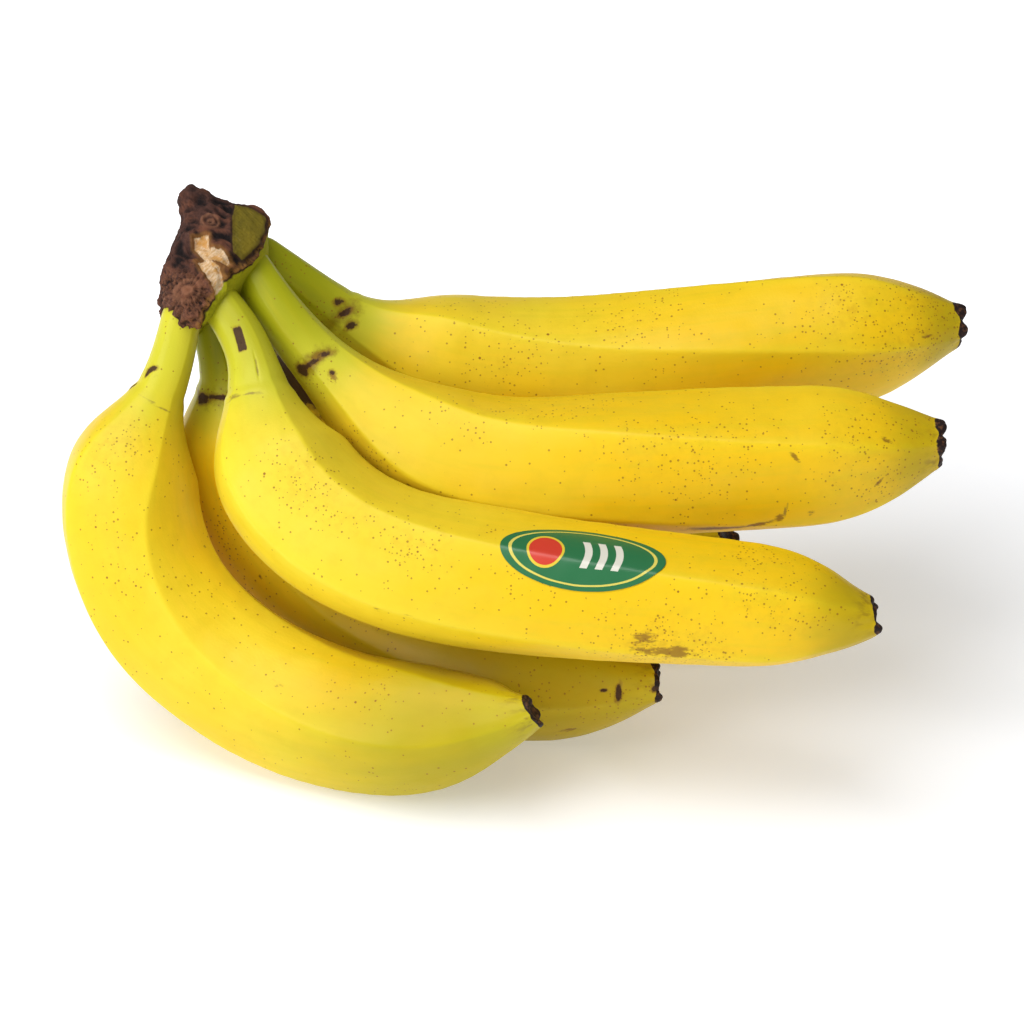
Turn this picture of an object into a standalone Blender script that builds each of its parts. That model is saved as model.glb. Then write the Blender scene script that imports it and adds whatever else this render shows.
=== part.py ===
# A bunch of six bananas on one crown, lying on its lower row with the crown raised.
# Metres, +Z up. The origin is on the surface that it lies on, under the middle of its box.
import math

import bmesh
import bpy
import numpy as np
from mathutils import Matrix, Vector, noise

MM = 0.001
GAP = 0.3 * MM            # air between pieces that touch

# The lines below are laid out from a point beside the crown's foot. This moves them, in mm,
# so that the origin comes under the middle of the bunch and its low bananas reach the surface.
SHIFT = Vector((-0.6, 25.8, -1.5))

# Each finger: points along its middle from inside the crown to the tip, in mm, then its
# thickness, the stem's thickness, where the body starts to swell and how long that takes,
# the length that closes to the tip, the tip's width, the fullest place from 0 at the crown
# to 1 at the tip, and the turn of its ridges in degrees.
FINGERS = {
    "banana_front": {
        "line": [(-82, -12.5, 108), (-86.5, -18, 91), (-97, -28, 64.5), (-89.5, -40, 38.5),
                 (-68, -52, 23), (-37, -67, 18.7), (-12, -77.5, 25), (5.5, -86, 34.5)],
        "girth": 37, "stalk": 13, "stem": 22, "neck": 25, "close": 40, "tip": 8,
        "fullest": 0.5, "roll": 10,
    },
    "banana_under": {
        "line": [(-78.5, -1.5, 104), (-74, -5, 86), (-70.7, -7.4, 63), (-61, -13.5, 39),
                 (-40, -23, 24), (-14, -36, 19), (14, -48, 17.5), (37, -57, 23.5)],
        "girth": 36, "stalk": 13, "stem": 20, "neck": 18, "close": 44, "tip": 10,
        "fullest": 0.55, "roll": 0,
    },
    "banana_middle": {
        "line": [(-78, -7.5, 111.5), (-66, -19.5, 98), (-60, -35.7, 78.3), (-43.2, -50.5, 63.7),
                 (-10, -62, 57.3), (40, -70, 55.3), (88, -78, 56)],
        "girth": 36.8, "stalk": 13, "stem": 25, "neck": 30, "close": 28, "tip": 9.5,
        "fullest": 0.4, "roll": 0,
    },
    "banana_upper": {
        "line": [(-69, 3, 115), (-57.5, -8, 101), (-43, -15.5, 87), (-20, -25, 73.5),
                 (22, -33, 72), (70, -33, 74.3), (107, -33, 78.8)],
        "girth": 37, "stalk": 14, "stem": 28, "neck": 46, "close": 32, "tip": 12,
        "fullest": 0.65, "roll": 0,
    },
    "banana_back": {
        "line": [(-67, 11, 112), (-54, 11, 100.5), (-41, 11.5, 90), (-18, 11, 81),
                 (22, 9, 79), (75, 10, 85.5), (115.6, 14, 88)],
        "girth": 36, "stalk": 14, "stem": 27, "neck": 34, "close": 29, "tip": 12,
        "fullest": 0.65, "roll": 0,
    },
    "banana_hidden": {
        "line": [(-72, 8, 106), (-70, 16, 84), (-57, 21, 55), (-30, 18, 28),
                 (12, 8, 18), (37, -2, 27), (57, -9, 38.5)],
        "girth": 36, "stalk": 13, "stem": 30, "neck": 30, "close": 44, "tip": 10,
        "fullest": 0.5, "roll": 0,
    },
}

RINGS = 30                # sections along a finger
FACES = 5                 # a banana's section has five soft faces
SIDES = 4 * FACES
RIDGE = 0.22              # how far the five faces are flattened, 0 is round
ROOT = 30                 # mm over which the stem widens from the crown
PINCH = 0.26              # how much thinner it is at the crown
THINNING = 0.12           # how much the body thins at THINNING_AT of its length from its fullest place
THINNING_AT = 0.4
LINE_STEPS = 60           # steps in each span of a line while its length is measured

# The crown's foot runs from the front stem to the back stem, and the cut end leans away from it.
# Each ring: height, place along the foot, half length, half depth and place in depth, mm.
CROWN_FOOT = (-80, -17, 105)
CROWN_ALONG = (21, 27, 15)
CROWN_DEEP = (-0.27, 0.61, -0.74)
CROWN_RINGS = [
    (-4.5, 20, 8, 6, 4), (-2.5, 15, 15, 10, 4), (1, 15.5, 18.5, 13, 3.5), (4.5, 16.5, 19, 13.5, 3.5),
    (8, 17, 18, 12.5, 3.5), (12, 18, 15, 10.5, 3.5), (15, 21, 11, 8.5, 3),
    (18, 26.5, 6, 5.5, 2.5), (21, 28, 3.6, 3.5, 2), (22.5, 28.5, 2, 1.8, 2),
]
CROWN_SIDES = 20
CROWN_SQUARE = 0.75       # 1 is an oval section, less is squarer
CROWN_LUMPS = 1.3         # mm, how far the dried skin rises and sinks
CROWN_LUMPS_APART = 6     # mm, about the width of one lump

# The sticker is an oval on the middle banana's upper side.
LABEL_SIZE = (40, 17)     # mm
LABEL_CELLS = (16, 8)
LABEL_THICKNESS = 0.4 * MM
LABEL_PLACE = (17, -80, 84)
LABEL_LONG = (60, -8, 0)
LABEL_FACING = (0, -0.41, 0.91)

SKIN_YELLOW = (0.80, 0.58, 0.04, 1)
CROWN_BROWN = (0.10, 0.05, 0.03, 1)
LABEL_GREEN = (0.02, 0.17, 0.08, 1)


def clear_scene():
    for thing in list(bpy.data.objects):
        bpy.data.objects.remove(thing, do_unlink=True)


def material(name, colour, roughness):
    made = bpy.data.materials.new(name)
    made.use_nodes = True
    shader = made.node_tree.nodes["Principled BSDF"]
    shader.inputs["Base Color"].default_value = colour
    shader.inputs["Roughness"].default_value = roughness
    shader.inputs["Metallic"].default_value = 0.0
    return made


def smooth_line(points, count):
    # A natural cubic spline through the points, read at even steps of length.
    knots = np.array(points, float)
    spans = np.linalg.norm(np.diff(knots, axis=0), axis=1)
    n = len(knots)
    matrix = np.eye(n)
    right = np.zeros((n, 3))
    for i in range(1, n - 1):
        matrix[i, i - 1:i + 2] = spans[i - 1], 2 * (spans[i - 1] + spans[i]), spans[i]
        slope_out = (knots[i + 1] - knots[i]) / spans[i]
        slope_in = (knots[i] - knots[i - 1]) / spans[i - 1]
        right[i] = 6 * (slope_out - slope_in)
    bends = np.linalg.solve(matrix, right)
    dense = []
    for i in range(n - 1):
        width = spans[i]
        for t in np.linspace(0, width, LINE_STEPS, endpoint=False):
            back = width - t
            dense.append(
                (bends[i] * back ** 3 + bends[i + 1] * t ** 3) / (6 * width)
                + (knots[i] / width - bends[i] * width / 6) * back
                + (knots[i + 1] / width - bends[i + 1] * width / 6) * t)
    dense.append(knots[-1])
    dense = np.array(dense)
    reach = np.concatenate([[0], np.cumsum(np.linalg.norm(np.diff(dense, axis=0), axis=1))])
    even = np.linspace(0, reach[-1], count)
    line = np.stack([np.interp(even, reach, dense[:, k]) for k in range(3)], axis=1)
    return line, reach[-1]


def ease(x):
    x = min(max(x, 0.0), 1.0)
    return x * x * (3 - 2 * x)


def finger_radius(along, length, finger):
    # Stem, swelling neck, full body and blunt tip.
    stem = finger["stalk"] / 2
    body = finger["girth"] / 2
    tip = finger["tip"] / 2
    stem *= 1 - PINCH * max(1 - along / ROOT, 0)
    swell = ease((along - finger["stem"]) / finger["neck"])
    belly = 1 - THINNING * ((along / length - finger["fullest"]) / THINNING_AT) ** 2
    full = stem + (body * belly - stem) * swell
    close = min(max((length - along) / finger["close"], 0.0), 1.0)
    return tip + (full - tip) * math.sin(close * math.pi / 2)


def finger_frames(line):
    # Directions along the line, and across it towards the inside of the bend.
    forward = np.gradient(line, axis=0)
    forward /= np.linalg.norm(forward, axis=1)[:, None]
    inside = (line[0] + line[-1]) / 2 - line[len(line) // 2]
    across = []
    for direction in forward:
        inside = inside - inside.dot(direction) * direction
        inside = inside / np.linalg.norm(inside)
        across.append(inside)
    across = np.array(across)
    return forward, across, np.cross(forward, across)


def section_radius(angle):
    # A soft five-sided section: 1 at the ridges, less on the faces between them.
    half_face = math.pi / FACES
    off_face = (angle % (2 * half_face)) - half_face
    five_sided = math.cos(half_face) / math.cos(off_face)
    return 1 - RIDGE * (1 - five_sided)


def finger_mesh(name, finger):
    line, length = smooth_line(finger["line"], RINGS)
    forward, inward, sideways = finger_frames(line)
    mesh = bmesh.new()
    rings = []
    for i in range(RINGS):
        radius = finger_radius(length * i / (RINGS - 1), length, finger)
        ring = []
        for j in range(SIDES):
            angle = 2 * math.pi * j / SIDES
            turned = angle + math.radians(finger["roll"])
            reach = radius * section_radius(angle)
            point = line[i] + reach * (math.cos(turned) * inward[i] + math.sin(turned) * sideways[i])
            ring.append(mesh.verts.new((Vector(point) + SHIFT) * MM))
        rings.append(ring)
    close_loft(mesh, rings)
    return finish_mesh(name, mesh)


def close_loft(mesh, rings):
    for low, high in zip(rings, rings[1:]):
        for j in range(len(low)):
            k = (j + 1) % len(low)
            mesh.faces.new((low[j], low[k], high[k], high[j]))
    mesh.faces.new(rings[0][::-1])
    mesh.faces.new(rings[-1])


def finish_mesh(name, mesh):
    bmesh.ops.recalc_face_normals(mesh, faces=mesh.faces)
    data = bpy.data.meshes.new(name)
    mesh.to_mesh(data)
    mesh.free()
    data.shade_smooth()
    return data


def crown_axes():
    along = Vector(CROWN_ALONG).normalized()
    deep = Vector(CROWN_DEEP)
    deep = (deep - along * deep.dot(along)).normalized()
    return along, along.cross(deep), deep


def squared(part):
    return math.copysign(abs(part) ** CROWN_SQUARE, part)


def crown_mesh(grow):
    along, up, deep = crown_axes()
    mesh = bmesh.new()
    rings = []
    for height, place, half_long, half_deep, depth in CROWN_RINGS:
        centre = Vector(CROWN_FOOT) + along * place + up * height + deep * depth
        ring = []
        for j in range(CROWN_SIDES):
            angle = 2 * math.pi * j / CROWN_SIDES
            point = centre + along * (half_long * squared(math.cos(angle)))
            point = point + deep * (half_deep * squared(math.sin(angle)))
            lump = CROWN_LUMPS * noise.noise(point / CROWN_LUMPS_APART)
            point = point + (point - centre).normalized() * lump
            ring.append(mesh.verts.new((point + SHIFT) * MM))
        rings.append(ring)
    close_loft(mesh, rings)
    bmesh.ops.recalc_face_normals(mesh, faces=mesh.faces)
    mesh.normal_update()
    if grow:
        moves = [vertex.normal.copy() * grow for vertex in mesh.verts]
        for vertex, move in zip(mesh.verts, moves):
            vertex.co += move
    return mesh


def label_mesh():
    # A square grid drawn in to an oval.
    mesh = bmesh.new()
    columns, rows = LABEL_CELLS
    bmesh.ops.create_grid(mesh, x_segments=columns, y_segments=rows, size=1)
    for vertex in mesh.verts:
        x, y = vertex.co.x, vertex.co.y
        vertex.co.x = x * math.sqrt(1 - y * y / 2) * LABEL_SIZE[0] / 2 * MM
        vertex.co.y = y * math.sqrt(1 - x * x / 2) * LABEL_SIZE[1] / 2 * MM
    data = bpy.data.meshes.new("label")
    mesh.to_mesh(data)
    mesh.free()
    data.shade_smooth()
    return data


def place_label(label, banana):
    # It is pressed down on the skin along its facing, and then gets its thickness.
    facing = Vector(LABEL_FACING).normalized()
    long_way = Vector(LABEL_LONG)
    long_way = (long_way - facing * long_way.dot(facing)).normalized()
    turn = Matrix((long_way, facing.cross(long_way), facing)).transposed()
    label.rotation_euler = turn.to_euler()
    label.location = (Vector(LABEL_PLACE) + SHIFT) * MM
    press = label.modifiers.new("lies on the skin", "SHRINKWRAP")
    press.target = banana
    press.wrap_method = "PROJECT"
    press.use_project_z = True
    press.use_negative_direction = True
    press.use_positive_direction = False
    press.wrap_mode = "ABOVE_SURFACE"
    press.offset = GAP
    paper = label.modifiers.new("thickness", "SOLIDIFY")
    paper.thickness = LABEL_THICKNESS
    paper.offset = 1


def add_object(name, data, collection, finish=None):
    thing = bpy.data.objects.new(name, data)
    collection.objects.link(thing)
    if finish:
        data.materials.append(finish)
    return thing


def rest_flat(data):
    # Slice off what dips below the surface, which leaves a small flat spot to lie on.
    mesh = bmesh.new()
    mesh.from_mesh(data)
    if min(vertex.co.z for vertex in mesh.verts) < 0:
        everything = mesh.verts[:] + mesh.edges[:] + mesh.faces[:]
        cut = bmesh.ops.bisect_plane(mesh, geom=everything, plane_co=(0, 0, 0),
                                     plane_no=(0, 0, -1), clear_outer=True)
        edges = [item for item in cut["geom_cut"] if isinstance(item, bmesh.types.BMEdge)]
        bmesh.ops.holes_fill(mesh, edges=edges, sides=0)
        bmesh.ops.recalc_face_normals(mesh, faces=mesh.faces)
        mesh.to_mesh(data)
    mesh.free()


def main():
    clear_scene()
    bunch = bpy.data.collections.new("banana_bunch")
    helpers = bpy.data.collections.new("cutters")
    bpy.context.scene.collection.children.link(bunch)
    bpy.context.scene.collection.children.link(helpers)
    skin = material("banana_skin", SKIN_YELLOW, 0.45)
    bark = material("dried_crown", CROWN_BROWN, 0.85)
    paper = material("label_paper", LABEL_GREEN, 0.4)

    socket = add_object("crown_cutter", finish_mesh("crown_cutter", crown_mesh(GAP)), helpers)
    socket.hide_render = True
    socket.display_type = "WIRE"

    add_object("crown", finish_mesh("crown", crown_mesh(0)), bunch, bark)
    for name, finger in FINGERS.items():
        data = finger_mesh(name, finger)
        rest_flat(data)
        banana = add_object(name, data, bunch, skin)
        cut = banana.modifiers.new("meets the crown", "BOOLEAN")
        cut.operation = "DIFFERENCE"
        cut.object = socket
    label = add_object("label", label_mesh(), bunch, paper)
    place_label(label, bpy.data.objects["banana_middle"])


main()
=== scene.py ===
import math

import bpy
import numpy as np
from mathutils import Matrix, Vector, noise


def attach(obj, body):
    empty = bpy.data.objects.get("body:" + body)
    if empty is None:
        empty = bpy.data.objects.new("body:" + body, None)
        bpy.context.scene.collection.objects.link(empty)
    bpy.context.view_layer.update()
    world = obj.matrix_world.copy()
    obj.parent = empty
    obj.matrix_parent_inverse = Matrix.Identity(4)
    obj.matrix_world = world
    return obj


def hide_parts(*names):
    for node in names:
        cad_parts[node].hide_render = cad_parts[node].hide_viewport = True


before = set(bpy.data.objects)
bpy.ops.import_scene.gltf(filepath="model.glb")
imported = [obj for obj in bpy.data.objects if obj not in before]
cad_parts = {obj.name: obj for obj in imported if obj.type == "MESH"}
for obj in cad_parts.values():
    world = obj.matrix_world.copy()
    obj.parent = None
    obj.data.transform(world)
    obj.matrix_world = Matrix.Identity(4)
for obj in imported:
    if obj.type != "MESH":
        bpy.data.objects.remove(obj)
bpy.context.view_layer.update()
mm = 0.001

# where the photograph was taken from, in mm and degrees
camera = {
    "looksAt": (-0.6, 25.8, 38.5),
    "elevation": 30,
    "distance": 900,
    "lens": 120.2,
    "sensor": 36,
    "nearest": 0.01,         # m, nothing closer than this is drawn
}

# the fingers' lines are laid out from a point beside the crown's foot and moved by this, in mm
shift = Vector((-0.6, 25.8, -1.5))

# what all the bananas share: a straight banana is modelled first and then bent along its line
banana = {
    "sides": 25,
    "faces": 5,
    "roundness": 0.9895,     # a smoothed ring of 25 sides is this much thinner than its cage
    "ridge": 0.5,            # how far the five faces are flattened
    "stemRidge": 0.2,        # the same on the stem and at the closing end
    "sharpness": 0.7,        # a ridge is this much a sharp edge, and the rest of it a soft wave
    "softWave": 0.0955,      # depth of that wave as a share of the radius
    "fuller": 1.016,         # makes up for the flatter faces
    "ridgeLine": 0.12,       # mm that the thin ridge lines stand up
    "ridgeWidth": 6,         # degrees
    "blending": 20,          # mm over which the stem's section turns into the body's
    "root": 30,              # mm over which the stem widens from the crown
    "pinch": 0.26,           # how much thinner the stem is at the crown
    "thinning": 0.12,        # how much thinner the body is at this distance from its fullest place
    "thinningAt": 0.4,       # that distance, as a share of the length
    "step": 6,               # mm between rings
    "lastRings": (12, 8.5, 5.5, 3.2, 1.5, 0.5),      # mm from the end
    "readings": 400,         # places at which a line is read
    "smoothing": 3,
    "wave": (0.4, 24),       # the soft unevenness of the skin: mm high, mm apart
    "dimples": (0.09, 5),
    "fold": 0.3,             # mm that the ring round a neck stands up
    "foldWidth": 1.1,        # mm
    "scar": 0.18,            # mm that a bruise is sunk
    "crease": 0.15,          # and a crease
}

# one entry for each finger, in mm and degrees: its line, its sizes as in the solids, how its ridges
# turn, how its end is tilted, how ripe it is by its stem and by its tip (golden 1, lemon yellow 0),
# how far and how strongly its ends are green (on the front and under bananas the olive end colour
# reaches far up the body as painted shade), where its neck is folded,
# the lobes of its dried end, each (round, spread, size),
# and its marks, each (kind, along, round, length, width, turn, strength)
bananas = {
    "bananaFront": {
        "node": "banana_front", "seed": 1.7,
        "line": [(-82, -12.5, 108), (-86.5, -18, 91), (-97, -28, 64.5), (-89.5, -40, 38.5),
                 (-68, -52, 23), (-37, -67, 18.7), (-12, -77.5, 25), (5.5, -86, 34.5)],
        "girth": 37, "stalk": 13, "stem": 22, "neck": 25, "close": 40, "tip": 8,
        "fullest": 0.5, "roll": 10, "twist": 0.45, "twistFrom": 140, "tipTilt": (-0.16, 0.5),
        # painted shade: the olive of the end reaches 80 mm up this banana to darken its shaded right
        # side
        "ripe": (0.5, 0.4), "stemGreen": 34, "stemTone": 0.55, "tipGreenAndShade": 80, "tipTone": 0.75,
        "lobeSize": 0.5, "fold": 26,
        "lobes": [(50, 30, 0.9), (106, 30, 0.3), (160, 26, 1.0), (230, 28, 0.5), (300, 28, 0.5)],
        "marks": [
            ("bruise", 18.3, 95, 3.4, 1.3, 55, 1.0),
            ("bruise", 20.2, 104, 2.2, 1.2, 20, 0.9),
            ("bruise", 25, 139, 3.0, 1.4, 20, 0.9),
            ("smudge", 20, 100, 9, 6, 40, 0.55),
            ("crease", 26, 52, 0.9, 13, 8, 0.8),
            ("specks", 40, 74, 16, 14, 0, 0.9),
            ("specks", 62, 60, 34, 16, 0, 0.5),
            ("bruise", 72.7, 341, 0.9, 0.9, 0, 0.9),
            ("scuff", 124, 46, 9, 4, 20, 0.75),
            ("scuff", 142, 78, 6, 2, 30, 0.6),
            ("specks", 150, 40, 30, 14, 0, 0.4),
        ],
    },
    "bananaUnder": {
        "node": "banana_under", "seed": 4.1,
        "line": [(-78.5, -1.5, 104), (-74, -5, 86), (-70.7, -7.4, 63), (-61, -13.5, 39),
                 (-40, -23, 24), (-14, -36, 19), (14, -48, 17.5), (37, -57, 23.5)],
        "girth": 36, "stalk": 13, "stem": 20, "neck": 18, "close": 44, "tip": 10,
        "fullest": 0.55, "roll": 0, "twist": 0.3, "twistFrom": 100, "tipTilt": (0.19, 0.4),
        # painted shade: the olive of the end reaches 130 mm up this banana to darken its body where it
        # lies in shade between the front and middle bananas
        "ripe": (0.8, 0.7), "stemGreen": 30, "stemTone": 0.95, "tipGreenAndShade": 130, "tipTone": 0.7,
        "lobeSize": 0.75, "fold": 23.5,
        "lobes": [(5, 30, 1.1), (60, 30, 0.7), (118, 30, 0.9), (190, 28, 0.6), (270, 28, 0.8)],
        "marks": [
            ("bruise", 24.3, 76, 1.2, 14, 6, 0.8),
            ("bruise", 24.9, 106, 2.4, 4, 0, 1.0),
            ("smudge", 24.5, 88, 5, 18, 0, 0.7),
            ("specks", 60.3, 89, 9, 8, 0, 1.0),
            ("bruise", 72.6, 84, 0.9, 0.8, 0, 0.9),
            ("bruise", 173.6, 75, 1.1, 4.7, 8, 1.0),
            ("bruise", 170.7, 70, 1.5, 0.9, 0, 1.0),
            ("scuff", 160, 133, 12, 4, 0, 0.8),
            ("specks", 172, 88, 26, 16, 0, 0.7),
            ("bruise", 181.5, 80, 2.6, 2.0, 0, 0.8),
        ],
    },
    "bananaMiddle": {
        "node": "banana_middle", "seed": 7.3,
        "line": [(-78, -7.5, 111.5), (-66, -19.5, 98), (-60, -35.7, 78.3), (-43.2, -50.5, 63.7),
                 (-10, -62, 57.3), (40, -70, 55.3), (88, -78, 56)],
        "girth": 36.8, "stalk": 13, "stem": 25, "neck": 30, "close": 28, "tip": 9.5,
        "fullest": 0.4, "roll": 0, "twist": 0.19, "twistFrom": 124, "tipTilt": (-0.25, 0.1),
        "ripe": (0.25, 0.85), "stemGreen": 40, "stemTone": 0.82, "tipGreenAndShade": 20, "tipTone": 0.72,
        "lobeSize": 0.8, "fold": 34,
        "lobes": [(311, 24, 1.1), (140, 22, 0.9), (20, 26, 0.3), (80, 26, 0.35), (225, 26, 0.6)],
        "marks": [
            ("cut", 19.7, 92, 6.4, 2.3, 8, 1.0),
            ("crease", 28, 75, 10, 0.9, 4, 0.8),
            ("crease", 34.6, 96, 1.1, 10, 8, 0.9),
            ("crease", 34.8, 124, 1.0, 8, -10, 0.9),
            ("scuff", 34.5, 118, 2.5, 7, 0, 0.7),
            ("specks", 65, 80, 26, 12, 0, 1.0),
            ("specks", 83, 75, 15, 9, 0, 0.9),
            ("specks", 100, 81, 16, 9, 0, 1.0),
            ("scuff", 94, 142, 3.4, 2.2, 0, 0.85),
            ("scuff", 100.5, 140, 6, 2, 0, 0.75),
            ("specks", 125, 105, 44, 18, 0, 0.35),
            ("scuff", 156, 136, 9, 6, 0, 0.95),
            ("scuff", 161, 147, 20, 5, 0, 1.0),
            ("smudge", 158, 143, 16, 6, 0, 0.35),
            ("specks", 160, 138, 30, 16, 0, 1.0),
            ("specks", 189, 107, 17, 9, 0, 1.0),
            ("smudge", 191, 107, 12, 3, 0, 0.4),
            ("specks", 180, 39, 13, 7, 0, 0.9),
            ("specks", 178, 84, 30, 20, 0, 0.5),
        ],
    },
    "bananaUpper": {
        "node": "banana_upper", "seed": 11.9,
        "line": [(-69, 3, 115), (-57.5, -8, 101), (-43, -15.5, 87), (-20, -25, 73.5),
                 (22, -33, 72), (70, -33, 74.3), (107, -33, 78.8)],
        "girth": 37, "stalk": 14, "stem": 28, "neck": 46, "close": 32, "tip": 12,
        "fullest": 0.65, "roll": 0, "twist": 0.37, "twistFrom": 137, "tipTilt": (0.1, 0.05),
        "ripe": (0.45, 0.8), "stemGreen": 44, "stemTone": 0.95, "tipGreenAndShade": 19, "tipTone": 0.66,
        "lobeSize": 0.9, "fold": 0,
        "lobes": [(44, 30, 1.1), (96, 32, 0.9), (150, 26, 0.4), (222, 30, 0.6), (305, 32, 0.7)],
        "marks": [
            ("smudge", 34.3, 84, 4.5, 11, 10, 0.9),
            ("smudge", 34, 116, 5, 9, 0, 0.95),
            ("bruise", 34.4, 103, 1.4, 8, 10, 0.85),
            ("bruise", 34, 128, 3.2, 3.4, 30, 1.0),
            ("bruise", 35, 70, 1.8, 4.5, 30, 0.85),
            ("bruise", 39.8, 86, 1.8, 2.2, 40, 0.75),
            ("scuff", 41, 92, 6, 4, 30, 0.85),
            ("specks", 56, 136, 7, 6, 0, 1.0),
            ("specks", 62.5, 130, 8, 7, 0, 1.0),
            ("bruise", 71.5, 130, 1.1, 0.9, 0, 0.9),
            ("specks", 80, 54, 24, 14, 0, 0.6),
            ("specks", 102, 36, 26, 14, 0, 0.6),
            ("specks", 134, 78, 36, 16, 0, 0.8),
            ("scuff", 143, 152, 18, 2.8, 0, 1.0),
            ("smudge", 141, 153, 14, 3.4, 0, 0.95),
            ("crease", 152, 149, 10, 1.0, -14, 1.0),
            ("scuff", 152, 149, 11, 2.2, -14, 1.0),
            ("crease", 159, 138, 1.0, 5.5, 16, 1.0),
            ("scuff", 157.5, 143, 3, 3, 30, 1.0),
            ("scuff", 165.4, 142, 2.6, 2.4, 0, 0.95),
            ("scuff", 162, 90, 5, 1.5, 50, 1.0),
            ("scuff", 186, 82, 5, 1.5, 35, 1.0),
            ("scuff", 183, 126, 5, 1.3, -40, 1.0),
            ("specks", 184, 90, 30, 24, 0, 0.9),
        ],
    },
    "bananaBack": {
        "node": "banana_back", "seed": 15.2,
        "line": [(-67, 11, 112), (-54, 11, 100.5), (-41, 11.5, 90), (-18, 11, 81),
                 (22, 9, 79), (75, 10, 85.5), (115.6, 14, 88)],
        "girth": 36, "stalk": 14, "stem": 27, "neck": 34, "close": 29, "tip": 12,
        "fullest": 0.65, "roll": 0, "twist": 0.47, "twistFrom": 128, "tipTilt": (0.05, 0.1),
        "ripe": (0.5, 0.75), "stemGreen": 40, "stemTone": 1.0, "tipGreenAndShade": 17, "tipTone": 0.7,
        "lobeSize": 0.95, "fold": 31,
        "lobes": [(34, 31, 1.2), (88, 27, 0.9), (140, 30, 0.3), (205, 30, 0.6), (290, 32, 0.7)],
        "marks": [
            ("bruise", 26, 54, 2.0, 3.2, 30, 0.85),
            ("bruise", 29, 68, 1.8, 4.6, 30, 0.9),
            ("bruise", 32, 83, 2.0, 3.6, 30, 0.9),
            ("smudge", 29, 70, 6, 14, 20, 0.85),
            ("scuff", 27, 128, 3, 5, 40, 0.9),
            ("specks", 104, 44, 34, 18, 0, 0.45),
            ("specks", 76, 60, 22, 18, 0, 0.5),
            ("specks", 174, 66, 38, 26, 0, 1.0),
            ("bruise", 67, 150, 1.4, 1.0, 0, 1.0),
            ("bruise", 71, 151, 1.0, 0.9, 0, 1.0),
            ("scuff", 183, 84, 5, 2, 0, 0.8),
        ],
    },
    "bananaHidden": {
        "node": "banana_hidden", "seed": 19.6,
        "line": [(-72, 8, 106), (-70, 16, 84), (-57, 21, 55), (-30, 18, 28),
                 (12, 8, 18), (37, -2, 27), (57, -9, 38.5)],
        "girth": 36, "stalk": 13, "stem": 30, "neck": 30, "close": 44, "tip": 10,
        "fullest": 0.5, "roll": 0, "twist": 0.35, "twistFrom": 100, "tipTilt": (-0.1, 0.1),
        "ripe": (0.4, 0.6), "stemGreen": 36, "stemTone": 0.9, "tipGreenAndShade": 30, "tipTone": 0.7,
        "lobeSize": 0.9, "fold": 32,
        "lobes": [(15, 26, 1.0), (88, 24, 0.7), (160, 26, 0.9), (232, 24, 0.6), (300, 28, 0.8)],
        "marks": [
            ("bruise", 27, 200, 2.4, 9, 12, 0.9),
            ("smudge", 28, 200, 6, 14, 0, 0.7),
            # painted shade: a large dark patch where this banana's neck shows in the deep shade between
            # the middle and upper stems
            ("bruise", 42, 20, 34, 14, -20, 0.95),
            ("specks", 90, 180, 50, 22, 0, 0.8),
            ("scuff", 120, 220, 16, 5, 0, 0.9),
            ("specks", 60, 260, 30, 20, 0, 0.5),
            ("scuff", 84, 300, 8, 3, 30, 0.8),
        ],
    },
}

# the dried end of a banana
driedTip = {
    "reach": 1.7,            # mm that a lobe stands out past the rim
    "flare": 0.5,            # mm that it opens outwards
    "ragged": (0.3, 1.2),    # its torn edge: mm high, mm apart
    "band": 0.7,             # mm of skin that the dried colour covers between the lobes
    "lobeBand": 1.5,         # and further under a lobe
    "hollow": ((0, 0.93), (0.4, 0.72), (1.6, 0.4)),     # mm below the rim, share of its radius
    "pucker": 0.45,          # mm, the folds that run back from the end
    "puckered": 9,           # mm that they run back
    "tilted": 14,            # mm over which the end is tilted
}

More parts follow.
